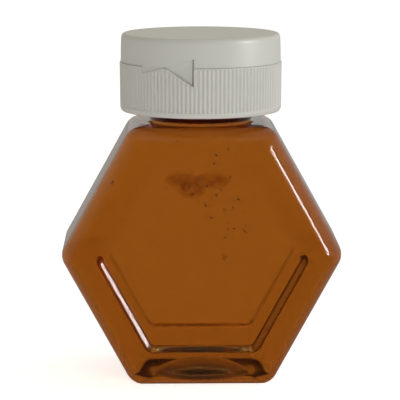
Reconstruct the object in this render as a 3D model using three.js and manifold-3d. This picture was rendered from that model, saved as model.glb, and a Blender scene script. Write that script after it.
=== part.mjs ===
// A hexagonal honey jar that stands on one flat side: a clear bottle, the honey in it,
// and a white screw cap with a flip-top lid on a butterfly hinge.
// Millimetres, +Z up, front towards -Y, origin at the middle of the base.
import * as THREE from 'three';
import { mergeVertices } from 'three/addons/utils/BufferGeometryUtils.js';
import Module from 'manifold-3d';

// bottle
const acrossFlats = 74.5;
const tall = 1.042; // the hexagon's height over its regular height
const bodyDepth = 51;
const edgeRadius = { side: 8.6, base: 4.5 }; // of the edges round the faces, tighter along the base
const cornerRadius = { side: 5, face: 3.4 }; // at the sides, and where the round edges meet the faces
const wall = 0.9;
// the rim round the front and back panels, which stands out more towards the base: its foot and
// crest, and the heights where its rise is nothing and full
const rim = { rise: 1.75, fadesAt: 68.8, fullAt: 9.4, fade: 2.2 };
const rimFoot = { side: 25.2, base: 24.9, corner: 2 };
const rimCrest = { side: 28, base: 27.2, corner: 3.2 };
const neckRadius = 15.4;
const neckWall = 1.5;
const neckFoot = 1.2; // small round where the neck meets the shoulder
const pushUp = { x: 16, y: 14.5, z: 8, sunk: 3.2 }; // flattened ball pressed into the base

// cap
const capBottom = 81;
const split = 95.8; // height where the lid parts from the base
const capTop = 104.7;
const baseRadius = { bottom: 24.6, top: 24.75 };
const lidRadius = { bottom: 24.45, top: 24.3 };
const lidEdge = { across: 1, down: 1.7 };
const capWall = 1.4;
const deckThickness = 1.5;
const sleeveWall = 1.3;
const sleeveBottom = 82.6;
const honeyTop = 92;
// ribs round the base, between a smooth rim with a rounded edge and a narrow land at the split
const ribs = { count: 120, depth: 0.35, plainRim: 0.9, rimRound: 0.3, end: 0.6, land: 0.3, landTuck: 0.15 };
const spout = { foot: 4.2, tip: 2.6, height: 3.4, hole: 1.6 };
const plugRing = { inner: 5.6, outer: 6.6, height: 5 }; // closes round the spout

// butterfly hinge, with a broad wing on the right and a narrow fold on the left
const hingeAngle = THREE.MathUtils.degToRad(27.2); // from the front, towards -X
const hingeHalf = 8.2; // from the waist to the end of a wing
const hingeSlot = { left: 0.3, right: 0.8 }; // open slot past the end of a wing
const wingUp = { left: 1.7, right: 2.7 };
const wingDown = { left: 2, right: 4.9 };
const waist = 0.5;
const wingPlane = 21.3; // inner flat of the notch, from the axis of the cap
const wingRoot = { left: 2.6, right: 1.6 }; // where a wing starts, from the waist
const wingOuter = { root: 24.4, end: { left: 23, right: 22.5 } }; // its outer face, from the axis of the cap
const wingThickness = 0.8;

// thumb lip, opposite the hinge
const lip = { width: 13, reach: 1.3, height: 1.5 };

const gap = 0.3; // between touching pieces
const cornerSteps = 5;
const edgeSteps = 5;
const neckFootSteps = 2;
const roundSteps = 72;
const ballSteps = { around: 32, down: 24 };
const mergeWithin = 1e-5;
const overshoot = 1; // how far a cutter runs past what it cuts
const apothem = acrossFlats / 2;
const hexHalf = Math.PI / 6;
const shoulder = acrossFlats * tall;
const middle = shoulder / 2;
const deckUnder = split - deckThickness;
const neckTop = deckUnder - gap;
const lidBottom = split + gap;

const wasm = await Module();
wasm.setup();

function toSolid(geometry) {
  const bare = geometry.clone();
  bare.deleteAttribute('normal');
  bare.deleteAttribute('uv');
  const merged = mergeVertices(bare, mergeWithin);
  return new wasm.Manifold(new wasm.Mesh({
    numProp: 3,
    vertProperties: new Float32Array(merged.attributes.position.array),
    triVerts: new Uint32Array(merged.index.array),
  }));
}

function toMesh(name, solid, look) {
  const raw = solid.getMesh();
  const geometry = new THREE.BufferGeometry();
  geometry.setAttribute('position', new THREE.BufferAttribute(raw.vertProperties, 3));
  geometry.setIndex(new THREE.BufferAttribute(raw.triVerts, 1));
  geometry.computeVertexNormals();
  const mesh = new THREE.Mesh(geometry, new THREE.MeshStandardMaterial(look));
  mesh.name = name;
  return mesh;
}

// Skins a row of closed rings that all have the same number of points, with flat ends.
function loft(rings) {
  const count = rings[0].length;
  const points = rings.flat();
  const faces = [];
  for (let row = 0; row + 1 < rings.length; row += 1) {
    for (let i = 0; i < count; i += 1) {
      const here = row * count + i;
      const next = row * count + (i + 1) % count;
      faces.push(here, next + count, next);
      faces.push(here, here + count, next + count);
    }
  }
  for (const row of [0, rings.length - 1]) {
    const centre = new THREE.Vector3();
    rings[row].forEach((point) => centre.addScaledVector(point, 1 / count));
    const hub = points.push(centre) - 1;
    for (let i = 0; i < count; i += 1) {
      const here = row * count + i;
      const next = row * count + (i + 1) % count;
      faces.push(...(row === 0 ? [hub, here, next] : [hub, next, here]));
    }
  }
  const geometry = new THREE.BufferGeometry().setFromPoints(points);
  geometry.setIndex(faces);
  return toSolid(geometry);
}

// A turned solid about the Z axis from [radius, height] points, listed upwards on the outside.
function turned(profile) {
  const outline = profile.map(([radius, height]) => new THREE.Vector2(radius, height));
  return toSolid(new THREE.LatheGeometry(outline, roundSteps).rotateX(Math.PI / 2));
}

function plainCylinder(radius, bottom, top) {
  return turned([[0, bottom], [radius, bottom], [radius, top], [0, top]]);
}

// One rounded hexagon, seen from the front, as [x, z, share of the base] rows. The apothems are
// to its slanted sides, its base and its top, before it is made taller.
function hexOutline(side, base, top, radius) {
  const points = [];
  const reach = (side - radius) / Math.cos(hexHalf);
  for (let corner = 0; corner < 6; corner += 1) {
    const facing = corner * 2 * hexHalf;
    const atSide = corner % 3 === 0;
    const rise = atSide ? 0 : (corner < 3 ? top : base) - radius;
    const x = Math.sign(Math.cos(facing)) * (reach - rise * Math.tan(hexHalf));
    const z = Math.sign(Math.sin(facing)) * rise;
    for (let step = 0; step <= cornerSteps; step += 1) {
      const angle = facing + (2 * step / cornerSteps - 1) * hexHalf;
      const share = baseShare(corner, step / cornerSteps);
      points.push([x + radius * Math.cos(angle), middle + tall * (z + radius * Math.sin(angle)), share]);
    }
  }
  return points;
}

// How much a point on a corner belongs to the base: it grows towards it on the two low corners.
function baseShare(corner, along) {
  if (corner < 4) return 0;
  return corner === 4 ? along : 1 - along;
}

// How far the rim stands out of the panel's plane at a height.
function rimRise(z) {
  const faded = THREE.MathUtils.clamp((z - rim.fullAt) / (rim.fadesAt - rim.fullAt), 0, 1);
  return rim.rise * (1 - faded ** rim.fade);
}

// The bottle's form, moved inwards by inset: flat panel, the wall up to the rim, the rim, the
// round edge and the side, and the same behind.
function bodyForm(inset) {
  const panel = bodyDepth / 2 - rim.rise - inset;
  const edge = edgeRadius.side - inset;
  const baseEdge = edgeRadius.base - inset;
  const foot = hexOutline(rimFoot.side, rimFoot.base, rimFoot.base, rimFoot.corner);
  const crest = hexOutline(rimCrest.side, rimCrest.base, rimCrest.base, rimCrest.corner);
  const half = [
    foot.map(([x, z]) => [x, panel, z]),
    crest.map(([x, z]) => [x, panel + rimRise(z), z]),
  ];
  for (let step = 0; step <= edgeSteps; step += 1) {
    const turn = step / edgeSteps * Math.PI / 2;
    const side = apothem - inset - edge * (1 - Math.sin(turn));
    const base = apothem - inset - baseEdge * (1 - Math.sin(turn));
    const corner = THREE.MathUtils.lerp(cornerRadius.face, cornerRadius.side, Math.sin(turn)) - inset;
    half.push(hexOutline(side, base, side, corner).map(([x, z, share]) => {
      const back = panel - THREE.MathUtils.lerp(edge, baseEdge, share) * (1 - Math.cos(turn));
      return [x, back + rimRise(z) * Math.cos(turn), z];
    }));
  }
  const front = half.map((ring) => ring.map(([x, y, z]) => new THREE.Vector3(x, -y, z)));
  const back = half.map((ring) => ring.map(([x, y, z]) => new THREE.Vector3(x, y, z))).reverse();
  return loft([...front, ...back]);
}

function pushUpForm(grow) {
  const ball = new THREE.SphereGeometry(1, ballSteps.around, ballSteps.down);
  ball.scale(pushUp.x + grow, pushUp.y + grow, pushUp.z + grow);
  ball.translate(0, 0, -pushUp.sunk);
  return toSolid(ball);
}

function hollowForm(inset) {
  return bodyForm(inset).subtract(pushUpForm(inset));
}

function bottle() {
  const outline = [[0, middle], [neckRadius, middle]];
  for (let step = 0; step <= neckFootSteps; step += 1) {
    const turn = step / neckFootSteps * Math.PI / 2;
    outline.push([neckRadius + neckFoot * (1 - Math.sin(turn)), shoulder + neckFoot * (1 - Math.cos(turn))]);
  }
  const neck = turned([...outline, [neckRadius, neckTop], [0, neckTop]]);
  const bore = plainCylinder(neckRadius - neckWall, middle, neckTop + overshoot);
  return bodyForm(0).subtract(pushUpForm(0)).add(neck)
    .subtract(hollowForm(wall)).subtract(bore);
}

// Filled right up into the neck.
function honey() {
  const column = plainCylinder(neckRadius - neckWall - gap, middle, honeyTop);
  return hollowForm(wall + gap).add(column);
}

// A ring round the Z axis whose radius steps in and out once for every rib.
function ribRing(radius, depth, height) {
  const points = [];
  for (let i = 0; i < 2 * ribs.count; i += 1) {
    const angle = -i / ribs.count * Math.PI;
    const reach = radius - (i % 2) * depth;
    points.push(new THREE.Vector3(reach * Math.cos(angle), reach * Math.sin(angle), height));
  }
  return points;
}

function ribbedSkirt() {
  const rimTop = capBottom + ribs.plainRim;
  const { bottom, top } = baseRadius;
  return loft([
    ribRing(bottom - ribs.rimRound, 0, capBottom),
    ribRing(bottom, 0, capBottom + ribs.rimRound),
    ribRing(bottom, 0, rimTop),
    ribRing(bottom, ribs.depth, rimTop + ribs.depth),
    ribRing(top, ribs.depth, split - ribs.end),
    ribRing(top, 0, split - ribs.land),
    ribRing(top - ribs.landTuck, 0, split),
  ]);
}

// A block that stands square to the hinge, from its outline across and up, between two depths.
function hingeBlock(outline, from, to) {
  const shape = new THREE.Shape(outline.map(([across, up]) => new THREE.Vector2(across, up)));
  const geometry = new THREE.ExtrudeGeometry(shape, { depth: to - from, bevelEnabled: false });
  geometry.rotateX(Math.PI / 2).translate(0, -from, split).rotateZ(-hingeAngle);
  return toSolid(geometry);
}

// How far a wing reaches up or down from the split, where it is `across` from the waist.
function edgeAt(across, reach) {
  return reach * (Math.abs(across) - waist) / (hingeHalf - waist);
}

// Both wings' notch in one wall, above (+1) or below (-1) the split and open towards it.
function notch(reach, sense) {
  const left = hingeHalf + hingeSlot.left;
  const right = hingeHalf + hingeSlot.right;
  const open = -sense * overshoot;
  const outline = [
    [-left, open],
    [right, open],
    [right, sense * edgeAt(right, reach.right)],
    [waist, 0],
    [-waist, 0],
    [-left, sense * edgeAt(left, reach.left)],
  ];
  return hingeBlock(sense > 0 ? outline : outline.reverse(), wingPlane, baseRadius.top + overshoot);
}

// One flat wing: it leaves the wall's surface at the waist and runs deeper towards its end.
function wing(side) {
  const which = side > 0 ? 'right' : 'left';
  const [up, down] = [wingUp[which], wingDown[which]];
  const root = wingRoot[which];
  const outline = [
    [side * root, gap - edgeAt(root, down)],
    [side * hingeHalf, gap - down],
    [side * hingeHalf, up - gap],
    [side * root, edgeAt(root, up) - gap],
  ];
  const shape = new THREE.Shape(outline.map(([across, up]) => new THREE.Vector2(across, up)));
  const geometry = new THREE.ExtrudeGeometry(shape, { depth: wingThickness, bevelEnabled: false });
  const lean = side * (wingOuter.root - wingOuter.end[which]) / (hingeHalf - root);
  geometry.applyMatrix4(new THREE.Matrix4().makeShear(0, -lean, 0, 0, 0, 0));
  const near = wingOuter.root + side * lean * root - wingThickness;
  geometry.rotateX(Math.PI / 2).translate(0, -near, split).rotateZ(-hingeAngle);
  return toSolid(geometry);
}

function capBase() {
  const inner = baseRadius.bottom - capWall;
  const sleeveInner = neckRadius + gap;
  const spoutTip = split + spout.height;
  const under = plainCylinder(inner, capBottom - overshoot, deckUnder);
  const sleeve = turned([
    [sleeveInner, deckUnder + overshoot],
    [sleeveInner, sleeveBottom],
    [sleeveInner + sleeveWall, sleeveBottom],
    [sleeveInner + sleeveWall, deckUnder + overshoot],
    [sleeveInner, deckUnder + overshoot],
  ]);
  const cone = turned([[0, deckUnder], [spout.foot, deckUnder], [spout.foot, split], [spout.tip, spoutTip],
    [0, spoutTip]]);
  const hole = plainCylinder(spout.hole, deckUnder - overshoot, spoutTip + overshoot);
  return ribbedSkirt().subtract(under).add(sleeve).add(cone).subtract(hole).subtract(notch(wingDown, -1));
}

function thumbLip() {
  const disc = plainCylinder(lidRadius.bottom + lip.reach, lidBottom, lidBottom + lip.height);
  const half = lip.width / 2;
  const up = lidBottom - split;
  const outline = [[-half, up], [half, up], [half, up + lip.height], [-half, up + lip.height]];
  const tip = -lidRadius.bottom - lip.reach - overshoot;
  const block = hingeBlock(outline, tip, tip + lip.width);
  return disc.intersect(block);
}

function capLid() {
  const under = capTop - capWall;
  const inner = lidRadius.bottom - capWall;
  const outside = [[0, lidBottom], [lidRadius.bottom, lidBottom]];
  for (let step = 0; step <= edgeSteps; step += 1) {
    const turn = step / edgeSteps * Math.PI / 2;
    const radius = lidRadius.top - lidEdge.across * (1 - Math.cos(turn));
    outside.push([radius, capTop - lidEdge.down * (1 - Math.sin(turn))]);
  }
  outside.push([0, capTop]);
  const hollow = plainCylinder(inner, lidBottom - overshoot, under);
  const rooted = under + capWall / 2;
  const ring = turned([
    [plugRing.inner, rooted],
    [plugRing.inner, under - plugRing.height],
    [plugRing.outer, under - plugRing.height],
    [plugRing.outer, rooted],
    [plugRing.inner, rooted],
  ]);
  return turned(outside).add(thumbLip()).subtract(hollow).add(ring).subtract(notch(wingUp, 1));
}

const clear = { color: 0xd9a35c, roughness: 0.06, metalness: 0, transparent: true, opacity: 0.35 };
const amber = { color: 0x8a4a10, roughness: 0.2, metalness: 0 };
const white = { color: 0xc4c3bd, roughness: 0.45, metalness: 0 };

const jar = new THREE.Group();
jar.add(toMesh('jar_shell', bottle(), clear));
jar.add(toMesh('honey', honey(), amber));
jar.add(toMesh('cap_base', capBase(), white));
jar.add(toMesh('cap_lid', capLid(), white));
jar.add(toMesh('hinge_wing_left', wing(-1), white));
jar.add(toMesh('hinge_wing_right', wing(1), white));

export default jar;
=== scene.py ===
import math
import random

import bmesh
import bpy
from mathutils import Euler, Matrix, Vector


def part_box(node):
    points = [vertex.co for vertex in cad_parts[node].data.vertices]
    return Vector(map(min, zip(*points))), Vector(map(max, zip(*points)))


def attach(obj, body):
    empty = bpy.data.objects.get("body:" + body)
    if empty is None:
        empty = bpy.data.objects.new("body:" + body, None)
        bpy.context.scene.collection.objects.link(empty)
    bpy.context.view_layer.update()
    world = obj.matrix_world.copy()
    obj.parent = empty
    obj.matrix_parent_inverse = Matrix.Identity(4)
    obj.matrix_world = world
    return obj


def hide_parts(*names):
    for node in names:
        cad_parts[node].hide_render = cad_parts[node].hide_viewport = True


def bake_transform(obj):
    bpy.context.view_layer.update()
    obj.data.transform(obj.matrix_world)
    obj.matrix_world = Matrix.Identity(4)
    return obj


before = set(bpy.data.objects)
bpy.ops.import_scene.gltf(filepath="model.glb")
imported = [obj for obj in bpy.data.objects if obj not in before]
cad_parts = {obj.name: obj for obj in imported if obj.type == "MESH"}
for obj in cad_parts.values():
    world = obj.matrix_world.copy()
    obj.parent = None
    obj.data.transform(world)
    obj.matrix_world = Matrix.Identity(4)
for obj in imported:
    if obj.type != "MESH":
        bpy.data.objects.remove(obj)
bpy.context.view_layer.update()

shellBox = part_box("jar_shell")
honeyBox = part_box("honey")
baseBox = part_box("cap_base")
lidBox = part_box("cap_lid")
hexHalf = math.pi / 6

# The bottle is a hexagon seen from the front, standing on one flat. All sizes in metres.
bottle = {
    "apothem": 0.03725,
    "tall": 1.042,  # the hexagon's height over its regular height
    "halfDepth": shellBox[1][1],
    "sideCorner": 0.005,  # corner radius at the sides
    "faceCorner": 0.0034,  # and where the round edges meet the faces
    "edgeRadius": 0.0086,
    "baseEdgeRadius": 0.0045,  # the edges along the base are tighter
    "wall": 0.0009,
    "rimFoot": (0.0252, 0.0249, 0.002),  # rim round each panel: side apothem, base apothem, corner radius
    "rimCrest": (0.0280, 0.0272, 0.0032),
    "rimFootBehind": (0.0247, 0.0240, 0.003),
    "rimRise": 0.00175,
    "rimFadesAt": 0.0688,  # the rim starts above the panel's top edge
    "rimFullAt": 0.0094,  # and has its full rise near the base
    "rimFade": 2.2,
    "rimSteps": 18,
    "neckRadius": 0.0154,
    "neckWall": 0.0015,
    "neckFoot": 0.0012,
    "neckTop": shellBox[1][2],
    "pushUp": (0.016, 0.0145, 0.008),  # half sizes of the hollow under the base
    "pushUpSunk": 0.0032,
    "cornerSteps": 14,
    "edgeSteps": 12,
    "neckSteps": 160,
}

cap = {
    "bottom": baseBox[0][2],
    "split": 0.0958,
    "top": lidBox[1][2],
    "lidBottom": lidBox[0][2],
    "baseBottomRadius": 0.0246,
    "baseTopRadius": baseBox[1][0],
    "lidBottomRadius": lidBox[1][0],
    "lidTopRadius": 0.0243,
    "wall": 0.0014,
    "deck": 0.0015,
    "steps": 240,
}

hinge = {
    "angle": math.radians(27.2),  # from the front, towards -X
    "half": 0.0082,  # from the waist to the end of a wing
    "slot": (0.00006, 0.0008),  # open slot past the end of the left wing and the right one
    "up": (0.0017, 0.0027),
    "down": (0.0020, 0.0049),
    "waist": 0.0005,
    "plane": 0.02175,  # inner flat of the notch, from the cap's axis
}


def newPiece(name, mesh, material, body=None):
    piece = bpy.data.objects.new(name, mesh)
    bpy.context.scene.collection.objects.link(piece)
    mesh.materials.clear()
    if material:
        mesh.materials.append(material)
    if body:
        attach(piece, body)
    return piece


def meshFrom(name, points, faces, thinned=False):
    nearest, thinnest = 1e-7, 1e-8  # points this close are one, and an edge this short goes
    mesh = bpy.data.meshes.new(name)
    mesh.from_pydata([tuple(p) for p in points], [], faces)
    work = bmesh.new()
    work.from_mesh(mesh)
    bmesh.ops.remove_doubles(work, verts=work.verts, dist=nearest)
    if thinned:
        bmesh.ops.dissolve_degenerate(work, edges=work.edges, dist=thinnest)
    bmesh.ops.recalc_face_normals(work, faces=work.faces)
    work.to_mesh(mesh)
    work.free()
    return mesh


def loftMesh(name, rings):
    # skins a row of closed rings that all have the same number of points, and closes both ends
    count = len(rings[0])
    points = [point for ring in rings for point in ring]
    faces = []
    for row in range(len(rings) - 1):
        for i in range(count):
            here, beside = row * count + i, row * count + (i + 1) % count
            faces.append((here, beside, beside + count, here + count))
    faces.append(tuple(range(count - 1, -1, -1)))
    faces.append(tuple(range(len(points) - count, len(points))))
    return meshFrom(name, points, faces)


def latheMesh(name, profile, steps):
    # turns (radius, height) points about the Z axis, from axis to axis or round a closed loop
    points, faces = [], []
    for radius, height in profile:
        for i in range(steps):
            angle = 2 * math.pi * i / steps
            points.append((radius * math.cos(angle), radius * math.sin(angle), height))
    rows = len(profile)
    loop = profile[0][0] > 0
    for row in range(rows if loop else rows - 1):
        for i in range(steps):
            beside, after = (i + 1) % steps, (row + 1) % rows
            quad = (row * steps + i, row * steps + beside, after * steps + beside, after * steps + i)
            faces.append(quad)
    return meshFrom(name, points, faces, thinned=True)


def cylinderMesh(name, radius, bottom, top, steps):
    return latheMesh(name, [(0, bottom), (radius, bottom), (radius, top), (0, top)], steps)


def combine(mesh, operation, *others):
    # joins or cuts meshes, and gives the result as one mesh
    piece = newPiece("work", mesh, None)
    for other in others:
        tool = newPiece("tool", other, None)
        step = piece.modifiers.new("step", "BOOLEAN")
        step.operation = operation
        step.solver = "MANIFOLD"
        step.object = tool
        result = bpy.data.meshes.new_from_object(piece.evaluated_get(bpy.context.evaluated_depsgraph_get()))
        piece.modifiers.clear()
        bpy.data.objects.remove(tool)
        piece.data = result
    result = piece.data
    bpy.data.objects.remove(piece)
    return result


def softShade(piece, degrees):
    # smooth faces, creased where they meet more sharply than the angle, flats kept flat
    piece.data.shade_smooth()
    piece.data.set_sharp_from_angle(angle=math.radians(degrees))
    weigh = piece.modifiers.new("flats", "WEIGHTED_NORMAL")
    weigh.keep_sharp = True
    weigh.weight = 90
    result = bpy.data.meshes.new_from_object(piece.evaluated_get(bpy.context.evaluated_depsgraph_get()))
    piece.modifiers.clear()
    piece.data = result


# Materials


def newMaterial(name):
    material = bpy.data.materials.new(name)
    material.use_nodes = True
    nodes = material.node_tree.nodes
    nodes.clear()
    out = nodes.new("ShaderNodeOutputMaterial")
    shader = nodes.new("ShaderNodeBsdfPrincipled")
    material.node_tree.links.new(shader.outputs["BSDF"], out.inputs["Surface"])
    return material, material.node_tree, shader, out


def newGroup(name, inputs, outputs):
    group = bpy.data.node_groups.new(name, "ShaderNodeTree")
    for label, kind, value in inputs:
        socket = group.interface.new_socket(label, in_out="INPUT", socket_type="NodeSocket" + kind)
        socket.default_value = value
    for label, kind in outputs:
        group.interface.new_socket(label, in_out="OUTPUT", socket_type="NodeSocket" + kind)
    return group, group.nodes.new("NodeGroupInput"), group.nodes.new("NodeGroupOutput")


def noiseNode(tree, scale, detail=3.0, roughness=0.5):
    place = tree.nodes.new("ShaderNodeTexCoord")
    noise = tree.nodes.new("ShaderNodeTexNoise")
    noise.inputs["Scale"].default_value = scale
    noise.inputs["Detail"].default_value = detail
    noise.inputs["Roughness"].default_value = roughness
    tree.links.new(place.outputs["Object"], noise.inputs["Vector"])
    return noise


def feed(tree, socket, value):
    # links a socket to another one, or sets its value
    if isinstance(value, bpy.types.NodeSocket):
        tree.links.new(value, socket)
    else:
        socket.default_value = value


def coordinate(tree, space, axis):
    place = tree.nodes.new("ShaderNodeTexCoord")
    apart = tree.nodes.new("ShaderNodeSeparateXYZ")
    tree.links.new(place.outputs[space], apart.inputs["Vector"])
    return apart.outputs[axis]


def mathNode(tree, operation, *values):
    node = tree.nodes.new("ShaderNodeMath")
    node.operation = operation
    for socket, value in zip(node.inputs, values):
        feed(tree, socket, value)
    return node.outputs[0]


def rangeNode(tree, value, low, high, start=0.0, end=1.0):
    # gives start at or below low, end at or above high, and what lies between in between
    node = tree.nodes.new("ShaderNodeMapRange")
    tree.links.new(value, node.inputs["Value"])
    for label, limit in (("From Min", low), ("From Max", high), ("To Min", start), ("To Max", end)):
        node.inputs[label].default_value = limit
    return node.outputs["Result"]


def mixNode(tree, kind, factor, first, second):
    node = tree.nodes.new("ShaderNodeMix")
    node.data_type = kind
    for label, value in (("Factor", factor), ("A", first), ("B", second)):
        feed(tree, node.inputs[label], value)
    return node.outputs["Result"]


def mixShaders(tree, factor, first, second, out):
    mix = tree.nodes.new("ShaderNodeMixShader")
    tree.links.new(factor, mix.inputs["Fac"])
    tree.links.new(first, mix.inputs[1])
    tree.links.new(second, mix.inputs[2])
    tree.links.new(mix.outputs["Shader"], out.inputs["Surface"])


def makeMouldedGrain():
    # fine pebbly skin of moulded plastic, with a slow change of tone and gloss
    group, inside, outside = newGroup(
        "mouldedGrain",
        [
            ("Tone", "Color", (0.8, 0.8, 0.78, 1)),
            ("Tone Shift", "Float", 0.05),
            ("Gloss", "Float", 0.4),
            ("Gloss Shift", "Float", 0.08),
            ("Grain Scale", "Float", 3000.0),
        ],
        [("Color", "Color"), ("Roughness", "Float"), ("Height", "Float")],
    )
    given = inside.outputs
    broad = noiseNode(group, 90.0, detail=4.0)
    fine = noiseNode(group, 3000.0, detail=2.0)
    feed(group, fine.inputs["Scale"], given["Grain Scale"])
    centred = mathNode(group, "SUBTRACT", broad.outputs["Fac"], 0.5)
    shade = mathNode(group, "MULTIPLY_ADD", centred, given["Tone Shift"], 1.0)
    gloss = mathNode(group, "MULTIPLY_ADD", centred, given["Gloss Shift"], given["Gloss"])
    tint = group.nodes.new("ShaderNodeVectorMath")
    tint.operation = "SCALE"
    feed(group, tint.inputs[0], given["Tone"])
    feed(group, tint.inputs["Scale"], shade)
    feed(group, outside.inputs["Color"], tint.outputs[0])
    feed(group, outside.inputs["Roughness"], gloss)
    feed(group, outside.inputs["Height"], fine.outputs["Fac"])
    return group


def makeWallRipple():
    # slow unevenness of a blow-moulded wall, and of what fills it
    group, inside, outside = newGroup(
        "wallRipple",
        [("Broad Scale", "Float", 60.0), ("Fine Scale", "Float", 260.0), ("Fine Share", "Float", 0.2)],
        [("Height", "Float")],
    )
    given = inside.outputs
    broad = noiseNode(group, 60.0, detail=1.0)
    fine = noiseNode(group, 260.0, detail=2.0)
    feed(group, broad.inputs["Scale"], given["Broad Scale"])
    feed(group, fine.inputs["Scale"], given["Fine Scale"])
    height = mixNode(group, "FLOAT", given["Fine Share"], broad.outputs["Fac"], fine.outputs["Fac"])
    feed(group, outside.inputs["Height"], height)
    return group


mouldedGrain = makeMouldedGrain()
wallRipple = makeWallRipple()


def placeGroup(tree, group, **values):
    node = tree.nodes.new("ShaderNodeGroup")
    node.node_tree = group
    for label, value in values.items():
        node.inputs[label].default_value = value
    return node


def addBump(tree, shader, height, strength, distance):
    bump = tree.nodes.new("ShaderNodeBump")
    bump.inputs["Strength"].default_value = strength
    bump.inputs["Distance"].default_value = distance
    tree.links.new(height, bump.inputs["Height"])
    tree.links.new(bump.outputs["Normal"], shader.inputs["Normal"])


def whitePlastic(name, tone, gloss, grain):
    material, tree, shader, _ = newMaterial(name)
    skin = placeGroup(tree, mouldedGrain, Tone=(*tone, 1), Gloss=gloss)
    tree.links.new(skin.outputs["Color"], shader.inputs["Base Color"])
    tree.links.new(skin.outputs["Roughness"], shader.inputs["Roughness"])
    addBump(tree, shader, skin.outputs["Height"], strength=grain, distance=0.00002)
    shader.inputs["IOR"].default_value = 1.49
    shader.inputs["Subsurface Weight"].default_value = 0.15
    shader.inputs["Subsurface Radius"].default_value = (0.0012, 0.0011, 0.001)
    shader.inputs["Subsurface Scale"].default_value = 1.0
    return material


def passLight(tree, shader, out, share):
    # lets part of the light through to what the piece shades, as clear things do
    path = tree.nodes.new("ShaderNodeLightPath")
    clear = tree.nodes.new("ShaderNodeBsdfTransparent")
    amount = mathNode(tree, "MULTIPLY", path.outputs["Is Shadow Ray"], share)
    mixShaders(tree, amount, shader.outputs["BSDF"], clear.outputs["BSDF"], out)


def clearPlastic():
    material, tree, shader, out = newMaterial("clearBottlePlastic")
    shader.inputs["Base Color"].default_value = (0.98, 0.97, 0.95, 1)
    shader.inputs["Roughness"].default_value = 0.02
    shader.inputs["Transmission Weight"].default_value = 1.0
    shader.inputs["IOR"].default_value = 1.3
    ripple = placeGroup(tree, wallRipple)
    addBump(tree, shader, ripple.outputs["Height"], strength=0.35, distance=0.0004)
    passLight(tree, shader, out, share=0.95)
    return material


def honeyMaterial():
    honey = {
        "colour": (0.760, 0.535, 0.075, 1),
        "density": 121.0,
        "cloudy": 0.2,  # slightly turbid: it blurs what leaves it
        "neck": (0.0745, 0.0785),  # heights over which the honey's colour turns to painted shade, standing in for the cap's shadow over the neck
        "capShadeColour": (0.24, 0.1, 0.16, 1),
    }
    material, tree, shader, out = newMaterial("amberHoney")
    # painted shade: the honey is tinted darker over the neck, where the cap shades it
    capShadeMask = rangeNode(tree, coordinate(tree, "Object", "Z"), *honey["neck"])
    tone = mixNode(tree, "RGBA", capShadeMask, (1.0, 1.0, 1.0, 1), honey["capShadeColour"])
    feed(tree, shader.inputs["Base Color"], tone)
    facing = tree.nodes.new("ShaderNodeNewGeometry")
    cloudy = mathNode(tree, "MULTIPLY", facing.outputs["Backfacing"], honey["cloudy"])
    feed(tree, shader.inputs["Roughness"], cloudy)
    shader.inputs["Transmission Weight"].default_value = 1.0
    shader.inputs["IOR"].default_value = 1.49
    # it wets the wall, so it has no gloss of its own
    shader.inputs["Specular Tint"].default_value = (0.0, 0.0, 0.0, 1)
    ripple = placeGroup(tree, wallRipple)
    ripple.inputs["Fine Share"].default_value = 0.0
    addBump(tree, shader, ripple.outputs["Height"], strength=0.15, distance=0.0004)
    soak = tree.nodes.new("ShaderNodeVolumeAbsorption")
    soak.inputs["Color"].default_value = honey["colour"]
    soak.inputs["Density"].default_value = honey["density"]
    tree.links.new(soak.outputs["Volume"], out.inputs["Volume"])
    passLight(tree, shader, out, share=0.95)
    return material


# Bottle and honey


def hexOutline(side, base, radius, top=None):
    # one rounded hexagon, seen from the front, as (x, z) pairs, from the apothems to its slanted
    # sides and to its base and top
    points = []
    reach = (side - radius) / math.cos(hexHalf)
    middle = bottle["tall"] * bottle["apothem"]
    for corner in range(6):
        facing = corner * 2 * hexHalf
        rise = (top or base if corner < 3 else base) - radius
        centre = (reach - rise * math.tan(hexHalf), rise)
        if corner % 3 == 0:
            centre = (reach, 0)
        x0 = math.copysign(centre[0], math.cos(facing))
        z0 = math.copysign(centre[1], math.sin(facing))
        for step in range(bottle["cornerSteps"] + 1):
            angle = facing + (2 * step / bottle["cornerSteps"] - 1) * hexHalf
            z = bottle["tall"] * (z0 + radius * math.sin(angle))
            points.append((x0 + radius * math.cos(angle), middle + z))
    return points


def baseShares():
    # how much each point of an outline belongs to the base: 0 on the slanted sides and the top
    rising = [step / bottle["cornerSteps"] for step in range(bottle["cornerSteps"] + 1)]
    return [0] * 4 * len(rising) + rising + rising[::-1]


def rimAt(z):
    # how far the rim stands out of the panel's plane at a height
    faded = min(max((z - bottle["rimFullAt"]) / (bottle["rimFadesAt"] - bottle["rimFullAt"]), 0), 1)
    return bottle["rimRise"] * (1 - faded ** bottle["rimFade"])


def smoothStep(low, high, value):
    t = min(max((value - low) / (high - low), 0), 1)
    return t * t * (3 - 2 * t)


def rimProfile():
    # (way out, way up) from the front rim's foot to its crest, in one soft swing
    steps = [step / bottle["rimSteps"] for step in range(bottle["rimSteps"] + 1)]
    return [(out, 0.5 - 0.5 * math.cos(math.pi * out)) for out in steps]


def rimRing(foot, crest, out, climb, panel, side):
    # one ring on the way from the rim's foot to its crest
    ring = []
    for (x0, z0), (x1, z1) in zip(foot, crest):
        z = z0 + (z1 - z0) * out
        ring.append((x0 + (x1 - x0) * out, side * (panel + rimAt(z) * climb), z))
    return ring


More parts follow.
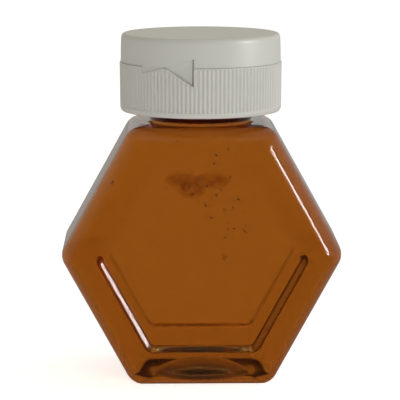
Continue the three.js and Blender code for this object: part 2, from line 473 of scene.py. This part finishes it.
def bodyMesh(name, inset):
    # the bottle's form, moved inwards by inset: panel, the wall up to the rim, round edge, side
    panel = bottle["halfDepth"] - bottle["rimRise"] - inset
    edge, baseEdge = bottle["edgeRadius"] - inset, bottle["baseEdgeRadius"] - inset
    foot, footBehind = hexOutline(*bottle["rimFoot"]), hexOutline(*bottle["rimFootBehind"])
    crest = hexOutline(*bottle["rimCrest"])
    front, behind = [], []
    for out, climb in rimProfile():
        front.append(rimRing(foot, crest, out, climb, panel, -1))
        behind.append(rimRing(footBehind, crest, out, smoothStep(0, 1, out), panel, 1))
    shares = baseShares()
    for step in range(bottle["edgeSteps"] + 1):
        turn = step / bottle["edgeSteps"] * math.pi / 2
        tuck, baseTuck = (inset + radius * (1 - math.sin(turn)) for radius in (edge, baseEdge))
        growth = (bottle["sideCorner"] - bottle["faceCorner"]) * math.sin(turn)
        corner = bottle["faceCorner"] + growth - inset
        apothem = bottle["apothem"]
        outline = hexOutline(apothem - tuck, apothem - baseTuck, corner, apothem - tuck)
        for side, half in ((-1, front), (1, behind)):
            ring = []
            for (x, z), share in zip(outline, shares):
                back = panel - (edge + (baseEdge - edge) * share) * (1 - math.cos(turn))
                ring.append((x, side * (back + rimAt(z) * math.cos(turn)), z))
            half.append(ring)
    return loftMesh(name, front + list(reversed(behind)))


def pushUpMesh(grow):
    work = bmesh.new()
    bmesh.ops.create_uvsphere(work, u_segments=96, v_segments=64, radius=1)
    mesh = bpy.data.meshes.new("pushUp")
    work.to_mesh(mesh)
    work.free()
    size = [half + grow for half in bottle["pushUp"]]
    sunk = Matrix.Translation((0, 0, -bottle["pushUpSunk"]))
    mesh.transform(sunk @ Matrix.Diagonal((*size, 1)))
    return mesh


def hollowMesh(inset):
    return combine(bodyMesh("hollow", inset), "DIFFERENCE", pushUpMesh(inset))


def makeBottle(material):
    sunk = 0.002  # how far the neck's foot goes into the body
    rim = 0.0004  # rounding of the neck's mouth
    footSteps = 8
    low, steps = bottle["apothem"], bottle["neckSteps"]
    radius, foot, top = bottle["neckRadius"], bottle["neckFoot"], bottle["neckTop"]
    shoulder = 2 * bottle["tall"] * bottle["apothem"]
    profile = [(0, low), (radius, low), (radius, shoulder - sunk)]
    for step in range(footSteps + 1):
        turn = step / footSteps * math.pi / 2
        profile.append((radius + foot * (1 - math.sin(turn)), shoulder + foot * (1 - math.cos(turn))))
    profile += [(radius, top - rim), (radius - rim * 0.3, top - rim * 0.3), (radius - rim, top), (0, top)]
    neck = latheMesh("neck", profile, steps)
    bore = cylinderMesh("bore", radius - bottle["neckWall"], low, top + 0.001, steps)
    outside = combine(bodyMesh("jar_bottle", 0), "DIFFERENCE", pushUpMesh(0))
    outside = combine(outside, "UNION", neck)
    mesh = combine(outside, "DIFFERENCE", hollowMesh(bottle["wall"]), bore)
    piece = newPiece("jar_bottle", mesh, material, "jar")
    softShade(piece, degrees=40)
    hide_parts("jar_shell")
    print("bottle", len(piece.data.polygons))


def makeHoney(material):
    intoWall = 0.0004  # reaches this far into the bottle's wall, so that no air shows
    radius = bottle["neckRadius"] - bottle["neckWall"] + intoWall
    column = cylinderMesh("column", radius, bottle["apothem"], honeyBox[1][2], bottle["neckSteps"])
    mesh = combine(hollowMesh(bottle["wall"] - intoWall), "UNION", column)
    piece = newPiece("jar_honey", mesh, material, "jar")
    softShade(piece, degrees=40)
    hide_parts("honey")
    print("honey", len(piece.data.polygons))


# Small things in the honey


def addBlob(work, at, size, rough, rand):
    # adds one uneven blob to a mesh that is being made
    made = bmesh.ops.create_icosphere(work, subdivisions=2, radius=1)
    turn = Euler([rand.uniform(0, math.pi) for _ in range(3)]).to_matrix()
    for vertex in made["verts"]:
        point = Vector(vertex.co) * (1 + rough * (rand.random() - 0.5))
        point = turn @ Vector([p * s for p, s in zip(point, size)])
        vertex.co = point + Vector(at)


def makeSpecks():
    # flakes of wax and pollen just behind the front panel, most of them in a trail down to the right
    flakes = {
        "seed": 7,
        "tone": (0.085, 0.032, 0.009, 1),
        "y": -0.0222,
        "deep": 0.0012,
        "parts": (1, 2, 2, 3),
        "spread": (0.0003, 0.0004),  # of the parts of one flake, sideways and up
        "length": (0.0002, 0.00044),
        "width": 0.5,
        "thickness": 0.35,
        "uneven": 0.5,
        "places": [  # (x, z) in millimetres
            (-1.5, 62.4), (-0.1, 61.5), (8.3, 63.6), (6.8, 60.3), (5.6, 59.7), (2.3, 60), (4.4, 57.5),
            (2.9, 57.2), (11, 56.6), (0.8, 55.4), (1.1, 54.5), (9.2, 54.2), (6.8, 53.6), (12.2, 52.7),
            (3, 51), (7.7, 49.4), (7.7, 47.6), (9.5, 47.8), (12.2, 47.5), (6.8, 45.1), (9.2, 44.5),
            (6.2, 39.7), (7.1, 39.4), (6.8, 38.1), (-10.8, 60), (-12.2, 57.5), (-4.8, 59.4), (-3.9, 60),
            (-3, 58.5), (-7.5, 74.1), (3.8, 67.5), (4.1, 70.2), (7.7, 71.7),
        ],
    }
    material, tree, shader, _ = newMaterial("darkSpeck")
    skin = placeGroup(tree, mouldedGrain, Tone=flakes["tone"], Gloss=0.8)
    tree.links.new(skin.outputs["Color"], shader.inputs["Base Color"])
    tree.links.new(skin.outputs["Roughness"], shader.inputs["Roughness"])
    rand = random.Random(flakes["seed"])
    work = bmesh.new()
    for x, z in flakes["places"]:
        for part in range(rand.choice(flakes["parts"])):
            at = (
                x / 1000 + rand.gauss(0, flakes["spread"][0]) * part,
                flakes["y"] + rand.uniform(0, flakes["deep"]),
                z / 1000 + rand.gauss(0, flakes["spread"][1]) * part,
            )
            length = rand.uniform(*flakes["length"])
            size = (length, length * flakes["width"], length * flakes["thickness"])
            addBlob(work, at, size, flakes["uneven"], rand)
    mesh = bpy.data.meshes.new("honey_specks")
    work.to_mesh(mesh)
    work.free()
    newPiece("honey_specks", mesh, material, "jar")
    print("specks", len(mesh.polygons))


def makeHaze():
    # soft brown clouds of pollen behind the front panel
    haze = {
        "colour": (0.74, 0.62, 0.6, 1),
        "patches": (0.25, 0.66),  # the noise fades in between these values
        "softness": 1.6,
        "y": -0.0188,
        "halfDepth": 0.0032,
        "clouds": [  # (x, z, half width, half height)
            (-0.0062, 0.0622, 0.0052, 0.0028),
            (0.0028, 0.0620, 0.0058, 0.0028),
            (-0.0030, 0.0592, 0.0044, 0.0028),
        ],
    }
    material = bpy.data.materials.new("pollenHaze")
    material.use_nodes = True
    tree = material.node_tree
    tree.nodes.clear()
    out = tree.nodes.new("ShaderNodeOutputMaterial")
    veil = tree.nodes.new("ShaderNodeBsdfTransparent")
    weight = tree.nodes.new("ShaderNodeLayerWeight")
    noise = noiseNode(tree, 420.0, detail=4.0, roughness=0.65)
    patches = rangeNode(tree, noise.outputs["Fac"], *haze["patches"])
    inwards = mathNode(tree, "SUBTRACT", 1.0, weight.outputs["Facing"])
    share = mathNode(tree, "MULTIPLY", patches, mathNode(tree, "POWER", inwards, haze["softness"]))
    feed(tree, veil.inputs["Color"], mixNode(tree, "RGBA", share, (1.0, 1.0, 1.0, 1), haze["colour"]))
    tree.links.new(veil.outputs["BSDF"], out.inputs["Surface"])
    work = bmesh.new()
    for x, z, wide, high in haze["clouds"]:
        made = bmesh.ops.create_uvsphere(work, u_segments=48, v_segments=32, radius=1)
        for vertex in made["verts"]:
            px, py, pz = vertex.co
            vertex.co = (x + px * wide, haze["y"] + py * haze["halfDepth"], z + pz * high)
    mesh = bpy.data.meshes.new("honey_haze")
    work.to_mesh(mesh)
    work.free()
    mesh.shade_smooth()
    newPiece("honey_haze", mesh, material, "jar")
    print("haze", len(mesh.polygons))


def makeBubbles():
    bubbles = [(-0.0264, -0.0196, 0.0612, 0.00058), (-0.0308, -0.0145, 0.0575, 0.0004)]  # (x, y, z, radius)
    material, tree, shader, _ = newMaterial("airBubble")
    shader.inputs["Base Color"].default_value = (1.0, 1.0, 1.0, 1)
    shader.inputs["Transmission Weight"].default_value = 1.0
    shader.inputs["Roughness"].default_value = 0.0
    shader.inputs["IOR"].default_value = 0.67  # air in honey
    ripple = placeGroup(tree, wallRipple)
    addBump(tree, shader, ripple.outputs["Height"], strength=0.05, distance=0.0001)
    work = bmesh.new()
    for x, y, z, radius in bubbles:
        place = Matrix.Translation((x, y, z)) @ Matrix.Scale(radius, 4)
        bmesh.ops.create_uvsphere(work, u_segments=40, v_segments=24, radius=1, matrix=place)
    mesh = bpy.data.meshes.new("honey_bubbles")
    work.to_mesh(mesh)
    work.free()
    mesh.shade_smooth()
    newPiece("honey_bubbles", mesh, material, "jar")
    print("bubbles", len(mesh.polygons))


# Cap


def hingeBlock(outline, near, far):
    # a block square to the hinge, from (across, up) points and two distances from the cap's axis
    points = [(across, -depth, cap["split"] + up) for depth in (near, far) for across, up in outline]
    count = len(outline)
    faces = [tuple(range(count)), tuple(range(2 * count - 1, count - 1, -1))]
    for i in range(count):
        beside = (i + 1) % count
        faces.append((i, i + count, beside + count, beside))
    mesh = meshFrom("block", points, faces)
    mesh.transform(Matrix.Rotation(-hinge["angle"], 4, "Z"))
    return mesh


def edgeAt(across, reach):
    # how far a wing reaches up or down from the split
    return reach * (abs(across) - hinge["waist"]) / (hinge["half"] - hinge["waist"])


def notchMesh(reach, sense):
    left, right = (hinge["half"] + slot for slot in hinge["slot"])
    outline = [
        (-left, -sense * 0.001), (right, -sense * 0.001), (right, sense * edgeAt(right, reach[1])),
        (hinge["waist"], 0), (-hinge["waist"], 0), (-left, sense * edgeAt(left, reach[0])),
    ]
    return hingeBlock(outline, hinge["plane"], cap["baseTopRadius"] + 0.001)


def makeCapBase(material):
    ribs = {
        "count": 120,
        "perRib": 8,
        "depth": 0.00042,
        "narrowing": 1.6,
        "plainRim": 0.0016,  # plain band along the bottom
        "fade": 0.0004,
        "topFade": 0.0003,
        "border": (0.0002, 0.0007),  # plain land under the hinge's notch
        "leftLand": 0.0013,  # and left of its waist
        "sideLand": 0.0012,  # and past its ends
        "rows": 34,
    }
    edge = {"turned": 0.0015, "bevel": 0.0002, "slope": 0.6}  # round lower edge, bevelled upper one
    seam = 0.0002  # the base reaches this far above the split, to close the gap under the lid
    bottom, split, turned = cap["bottom"], cap["split"] + seam, edge["turned"]
    bevelFoot = split - edge["bevel"]
    heights = [bottom + turned * share for share in (0, 0.05, 0.15, 0.3, 0.5, 0.75, 1)]
    start, end = bottom + ribs["plainRim"], split - ribs["topFade"]
    heights += [start + (end - start) * i / ribs["rows"] for i in range(ribs["rows"] + 1)]
    heights += [bevelFoot, split - 0.4 * edge["bevel"], split]

    def radiusAt(angle, height):
        share = (height - bottom) / (split - bottom)
        radius = cap["baseBottomRadius"] + (cap["baseTopRadius"] - cap["baseBottomRadius"]) * share
        groove = (0.5 + 0.5 * math.cos(angle * ribs["count"])) ** ribs["narrowing"]
        groove *= smoothStep(0, ribs["fade"], height - bottom - ribs["plainRim"])
        groove *= smoothStep(0, ribs["topFade"], bevelFoot - height)
        turn = (angle + math.pi / 2 + hinge["angle"] + math.pi) % (2 * math.pi) - math.pi
        across = radius * math.sin(turn)
        notchEnd = hinge["half"] + hinge["slot"][across > 0]
        if math.cos(turn) > 0 and abs(across) < notchEnd + ribs["sideLand"]:
            reach = edgeAt(min(abs(across), notchEnd), hinge["down"][across > 0])
            if across < 0:
                reach = max(reach, ribs["leftLand"])
            groove *= smoothStep(*ribs["border"], split - reach - height)
        tuck = 0.0
        if height < bottom + turned:
            tuck = turned - math.sqrt(max(turned ** 2 - (bottom + turned - height) ** 2, 0))
        if height > bevelFoot:
            tuck = height - bevelFoot
        return radius - tuck * edge["slope"] - ribs["depth"] * groove

    steps = ribs["count"] * ribs["perRib"]
    rings = []
    for height in heights:
        ring = []
        for i in range(steps):
            angle = 2 * math.pi * i / steps
            radius = radiusAt(angle, height)
            ring.append((radius * math.cos(angle), radius * math.sin(angle), height))
        rings.append(ring)
    skirt = loftMesh("cap_skirt", rings)

    past = 0.001  # how far cutters and joined pieces go beyond the faces that they meet
    under = split - cap["deck"]
    inner = cap["baseBottomRadius"] - cap["wall"]
    hollow = cylinderMesh("hollow", inner, bottom - past, under, cap["steps"])
    sleeve = {"inner": 0.0157, "wall": 0.0013, "bottom": 0.0826}
    outer = sleeve["inner"] + sleeve["wall"]
    sleeveMesh = latheMesh("sleeve", [
        (sleeve["inner"], under + past), (sleeve["inner"], sleeve["bottom"]),
        (outer, sleeve["bottom"]), (outer, under + past),
    ], cap["steps"])
    spout = {"foot": 0.0042, "tip": 0.0026, "height": 0.0034, "hole": 0.0016}
    tip = split + spout["height"]
    cone = latheMesh("spout", [
        (0, under), (spout["foot"], under), (spout["foot"], split), (spout["foot"] - 0.0004, split + 0.0004),
        (spout["tip"] + 0.0003, tip - 0.0008), (spout["tip"] + 0.0002, tip - 0.0002),
        (spout["tip"] - 0.0003, tip), (0, tip),
    ], 96)
    hole = cylinderMesh("hole", spout["hole"], under - past, tip + past, 64)
    mesh = combine(skirt, "DIFFERENCE", hollow)
    mesh = combine(mesh, "UNION", sleeveMesh, cone)
    mesh = combine(mesh, "DIFFERENCE", hole, notchMesh(hinge["down"], -1))
    piece = newPiece("cap_ribbed_base", mesh, material, "jar")
    softShade(piece, degrees=38)
    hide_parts("cap_base")
    print("cap base", len(piece.data.polygons))


def makeLid(material):
    edge = {"across": 0.0010, "down": 0.0017, "steps": 10, "straight": 0.002, "lowBevel": 0.00015}
    lip = {"width": 0.013, "reach": 0.0013, "height": 0.0015}
    ring = {"inner": 0.0056, "outer": 0.0066, "height": 0.005}
    seam = 0.00008  # it reaches this far below the solid, to narrow the gap above the base
    past = 0.001
    low, top, radius = cap["lidBottom"] - seam, cap["top"], cap["lidBottomRadius"]
    profile = [(0, low), (radius - edge["lowBevel"], low), (radius, low + edge["lowBevel"])]
    profile.append((cap["lidTopRadius"] + 0.00008, top - edge["down"] - edge["straight"]))
    for step in range(edge["steps"] + 1):
        turn = step / edge["steps"] * math.pi / 2
        across = cap["lidTopRadius"] - edge["across"] * (1 - math.cos(turn))
        profile.append((across, top - edge["down"] * (1 - math.sin(turn))))
    profile.append((0, top))
    outside = latheMesh("lid", profile, cap["steps"])

    reach, half, lipTop = radius + lip["reach"], lip["width"] / 2, low + lip["height"]
    disc = latheMesh("disc", [
        (0, low), (reach - 0.0003, low), (reach, low + 0.0003), (reach, lipTop - 0.0006),
        (reach - 0.0002, lipTop - 0.0002), (reach - 0.0007, lipTop), (0, lipTop),
    ], cap["steps"])
    under, over = low - cap["split"] - past, low - cap["split"] + 3 * past
    outline = [(-half, under), (half, under), (half, over), (-half, over)]
    block = hingeBlock(outline, -reach - past, -reach - past + lip["width"])
    lipMesh = combine(disc, "INTERSECT", block)

    ceiling = top - cap["wall"]
    hollow = cylinderMesh("hollow", radius - cap["wall"], low - past, ceiling, cap["steps"])
    ringMesh = latheMesh("ring", [
        (ring["inner"], ceiling + 0.0005), (ring["inner"], ceiling - ring["height"]),
        (ring["outer"], ceiling - ring["height"]), (ring["outer"], ceiling + 0.0005),
    ], 120)
    mesh = combine(outside, "UNION", lipMesh)
    mesh = combine(mesh, "DIFFERENCE", hollow)
    mesh = combine(mesh, "UNION", ringMesh)
    mesh = combine(mesh, "DIFFERENCE", notchMesh(hinge["up"], 1))
    piece = newPiece("cap_flip_lid", mesh, material, "lid")
    softShade(piece, degrees=38)
    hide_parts("cap_lid")
    print("lid", len(piece.data.polygons))


def makeWing(side, name, node, material):
    web = {
        "root": 0.0244, "end": 0.0225,  # outer face of the right one, from the cap's axis
        "sunk": 0.00005,  # the left one lies this far under the round face of the cap
        "closes": 0.00012,  # and is this much longer, so that its slot is shut
        "thickness": 0.0007,
        "crease": (0.00004, 0.00018),  # how much thinner it gets along its edges, where it folds
        "creaseFrom": 0.0001, "creaseTo": 0.0006,
        "overlap": 0.00006,
        "intoLid": 0.0003,
        "startsAt": 0.4,  # share of the waist's half width
        "alongSteps": 28, "upSteps": 36,
        "blendBelow": 0.0007, "blendAbove": 0.0009,
    }
    right = side > 0
    down, up, crease = hinge["down"][right], hinge["up"][right], web["crease"][right]
    half = hinge["half"] + (0 if right else web["closes"])
    waist = hinge["waist"] * web["startsAt"]
    points = []
    for layer in range(2):
        for i in range(web["alongSteps"] + 1):
            share = i / web["alongSteps"]
            across = waist + (half - waist) * share
            low = -edgeAt(max(across, hinge["waist"]), down) - web["overlap"]
            high = edgeAt(max(across, hinge["waist"]), up) + web["intoLid"]
            face = web["root"] + (web["end"] - web["root"]) * share
            if not right:
                face = math.sqrt(cap["lidBottomRadius"] ** 2 - across ** 2) - web["sunk"]
            for j in range(web["upSteps"] + 1):
                v = j / web["upSteps"]
                level = low + (high - low) * v
                rim = min(v, 1 - v) * (high - low)
                thin = crease * (1 - smoothStep(web["creaseFrom"], web["creaseTo"], rim))
                depth = face - layer * web["thickness"] + (thin if layer else -thin)
                points.append((side * across, -depth, cap["split"] + level))
    rows, columns = web["alongSteps"] + 1, web["upSteps"] + 1
    back = rows * columns
    faces = []
    for i in range(rows - 1):
        for j in range(columns - 1):
            a = i * columns + j
            faces.append((a, a + 1, a + 1 + columns, a + columns))
            faces.append((back + a, back + a + columns, back + a + 1 + columns, back + a + 1))
        for j in (0, columns - 1):
            a = i * columns + j
            faces.append((a, a + columns, back + a + columns, back + a))
    for j in range(columns - 1):
        for i in (0, rows - 1):
            a = i * columns + j
            faces.append((a, a + 1, back + a + 1, back + a))
    mesh = meshFrom(name, points, faces)
    mesh.transform(Matrix.Rotation(-hinge["angle"], 4, "Z"))
    piece = newPiece(name, mesh, material, None)
    piece.data.shade_smooth()
    piece.data.set_sharp_from_angle(angle=math.radians(40))
    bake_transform(piece)
    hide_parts(node)
    print(name, len(piece.data.polygons))


# Stage


def mirroredMask(tree):
    # 1 where a shiny face sends a ray back, 0 where it is seen or has come right through the jar
    facesInJar = 4.5  # a ray that has crossed more faces than this has come through
    path = tree.nodes.new("ShaderNodeLightPath")
    through = mathNode(tree, "GREATER_THAN", path.outputs["Transmission Depth"], facesInJar)
    mask = mathNode(tree, "SUBTRACT", path.outputs["Is Glossy Ray"], through)
    mask.node.use_clamp = True
    return path, mask


def makeStage():
    glow = {
        "seen": 0.75,
        "onMatte": 0.3,  # how much it lights matte things
        # seen through the jar, by tenths of a metre from the middle: under the push-up, at the foot, beyond
        "through": ((0.13, 1.0), (0.16, 0.85), (0.30, 0.8), (0.60, 0.75)),
        "mirrored": (-0.03, 0.06, 0.06, 0.40),  # what shiny faces mirror of it, by Y: dim in front
        "mirroredColour": (1.0, 0.95, 0.9, 1),
        "reach": 8,
    }
    reach = glow["reach"]
    corners = [(-reach, -reach, 0), (reach, -reach, 0), (reach, reach, 0), (-reach, reach, 0)]
    floorMesh = meshFrom("floor", corners, [(0, 1, 2, 3)])
    material, tree, shader, out = newMaterial("paleFloor")
    shader.inputs["Base Color"].default_value = (0.86, 0.86, 0.85, 1)
    shader.inputs["Roughness"].default_value = 0.8
    shader.inputs["Specular IOR Level"].default_value = 0.1
    path, mirrored = mirroredMask(tree)
    where = tree.nodes.new("ShaderNodeTexCoord")
    distance = tree.nodes.new("ShaderNodeVectorMath")
    distance.operation = "LENGTH"
    tree.links.new(where.outputs["Object"], distance.inputs[0])
    through = tree.nodes.new("ShaderNodeValToRGB")
    tree.links.new(mathNode(tree, "MULTIPLY", distance.outputs["Value"], 10.0), through.inputs["Fac"])
    stops = through.color_ramp.elements
    for i, (position, value) in enumerate(glow["through"]):
        stop = stops[i] if i < 2 else stops.new(position)
        stop.position = position
        stop.color = (value, value, value, 1)
    plain = mixNode(tree, "FLOAT", path.outputs["Is Diffuse Ray"], glow["seen"], glow["onMatte"])
    strength = mixNode(tree, "FLOAT", path.outputs["Is Transmission Ray"], plain, through.outputs["Color"])
    shader.inputs["Emission Color"].default_value = (1, 1, 1, 1)
    feed(tree, shader.inputs["Emission Strength"], strength)
    dim = tree.nodes.new("ShaderNodeEmission")
    dim.inputs["Color"].default_value = glow["mirroredColour"]
    feed(tree, dim.inputs["Strength"], rangeNode(tree, coordinate(tree, "Object", "Y"), *glow["mirrored"]))
    mixShaders(tree, mirrored, shader.outputs["BSDF"], dim.outputs["Emission"], out)
    floor = newPiece("floor", floorMesh, material)


def areaLight(name, at, target, size, power, tint=(1, 1, 1)):
    data = bpy.data.lights.new(name, "AREA")
    data.shape = "RECTANGLE"
    data.size, data.size_y = size
    data.energy = power
    data.color = tint
    light = bpy.data.objects.new(name, data)
    bpy.context.scene.collection.objects.link(light)
    light.location = at
    light.rotation_mode = "QUATERNION"
    light.rotation_quaternion = (Vector(target) - Vector(at)).to_track_quat("-Z", "Y")
    return light


def makeLights():
    middle = (0, 0, 0.05)
    window = areaLight("windowRight", (0.97, -0.33, 0.36), middle, size=(0.16, 0.5), power=8.0)
    window.visible_diffuse = False  # it only makes the streaks
    above = areaLight("softTop", (0.0, 0.1, 1.3), middle, size=(1.2, 1.2), power=2.4, tint=(1.0, 0.97, 0.86))
    above.visible_glossy = False


def makeRoom():
    # light from all round. Each range runs along an axis: from, to, and its value at either end
    room = {
        "fill": (-0.7, 0.0, 0.0, 0.88),  # by X, on matte surfaces: weaker from the left
        "overhead": (0.2, 0.95, 1.0, 0.3),  # by Z: the fill is weaker and warmer from overhead
        "cool": (-1.0, 0.2),  # by X: and warmer from the left
        "warmColour": (1.0, 0.95, 0.58, 1),
        "seen": (0.25, 0.6, 1.0, 0.7),  # by Z: what is seen through the jar is darker higher up
        "mirrored": (-0.5, 0.6, 0.05, 0.6),  # by Y, in shiny faces: dim in front, bright behind
    }
    world = bpy.data.worlds.new("studio")
    bpy.context.scene.world = world
    world.use_nodes = True
    tree = world.node_tree
    tree.nodes.clear()
    out = tree.nodes.new("ShaderNodeOutputWorld")
    sky = tree.nodes.new("ShaderNodeBackground")
    path, mirroredShare = mirroredMask(tree)
    x, y, z = (coordinate(tree, "Generated", axis) for axis in "XYZ")
    overhead = rangeNode(tree, z, *room["overhead"])
    fill = mathNode(tree, "MULTIPLY", rangeNode(tree, x, *room["fill"]), overhead)
    direct = mathNode(tree, "MAXIMUM", path.outputs["Is Camera Ray"], path.outputs["Is Transmission Ray"])
    plain = mixNode(tree, "FLOAT", direct, fill, rangeNode(tree, z, *room["seen"]))
    strength = mixNode(tree, "FLOAT", mirroredShare, plain, rangeNode(tree, y, *room["mirrored"]))
    cool = mathNode(tree, "MULTIPLY", rangeNode(tree, x, *room["cool"]), overhead)
    neutral = mathNode(tree, "MAXIMUM", cool, direct)
    colour = mixNode(tree, "RGBA", neutral, room["warmColour"], (1.0, 1.0, 1.0, 1))
    feed(tree, sky.inputs["Strength"], strength)
    feed(tree, sky.inputs["Color"], colour)
    tree.links.new(sky.outputs["Background"], out.inputs["Surface"])


def makeCamera():
    view = {"at": (-0.01454, -0.72866, 0.16648), "pitch": 8.067, "yaw": 1.126, "focal": 2396.1}
    view.update(frame=400, shift=-0.0815)
    data = bpy.data.cameras.new("photoCamera")
    data.sensor_width = 36.0
    data.lens = 36.0 * view["focal"] / view["frame"]
    data.shift_y = view["shift"]
    data.clip_start, data.clip_end = 0.02, 40.0
    camera = bpy.data.objects.new("photoCamera", data)
    bpy.context.scene.collection.objects.link(camera)
    camera.location = view["at"]
    camera.rotation_euler = Euler((math.radians(90 - view["pitch"]), 0, -math.radians(view["yaw"])))
    bpy.context.scene.camera = camera


def setLook():
    scene = bpy.context.scene
    scene.view_settings.view_transform = "Standard"
    scene.cycles.use_denoising = True
    scene.cycles.max_bounces = 24
    scene.cycles.transmission_bounces = 24
    scene.cycles.glossy_bounces = 12
    scene.cycles.transparent_max_bounces = 24
    scene.cycles.sample_clamp_indirect = 6.0
    scene.cycles.blur_glossy = 0.5


makeCamera()
setLook()
makeLights()
makeRoom()
makeStage()
print("stage ready")

capWhite = whitePlastic("capWhite", (0.78, 0.78, 0.765), 0.42, 0.25)
lidWhite = whitePlastic("lidWhite", (0.79, 0.79, 0.77), 0.4, 0.2)
hingeWhite = whitePlastic("hingeWhite", (0.78, 0.78, 0.765), 0.34, 0.1)
makeBottle(clearPlastic())
makeHoney(honeyMaterial())
makeSpecks()
makeHaze()
makeBubbles()
makeCapBase(capWhite)
makeLid(lidWhite)
makeWing(-1, "hinge_web_left", "hinge_wing_left", hingeWhite)
makeWing(1, "hinge_web_right", "hinge_wing_right", hingeWhite)
print("pieces ready")
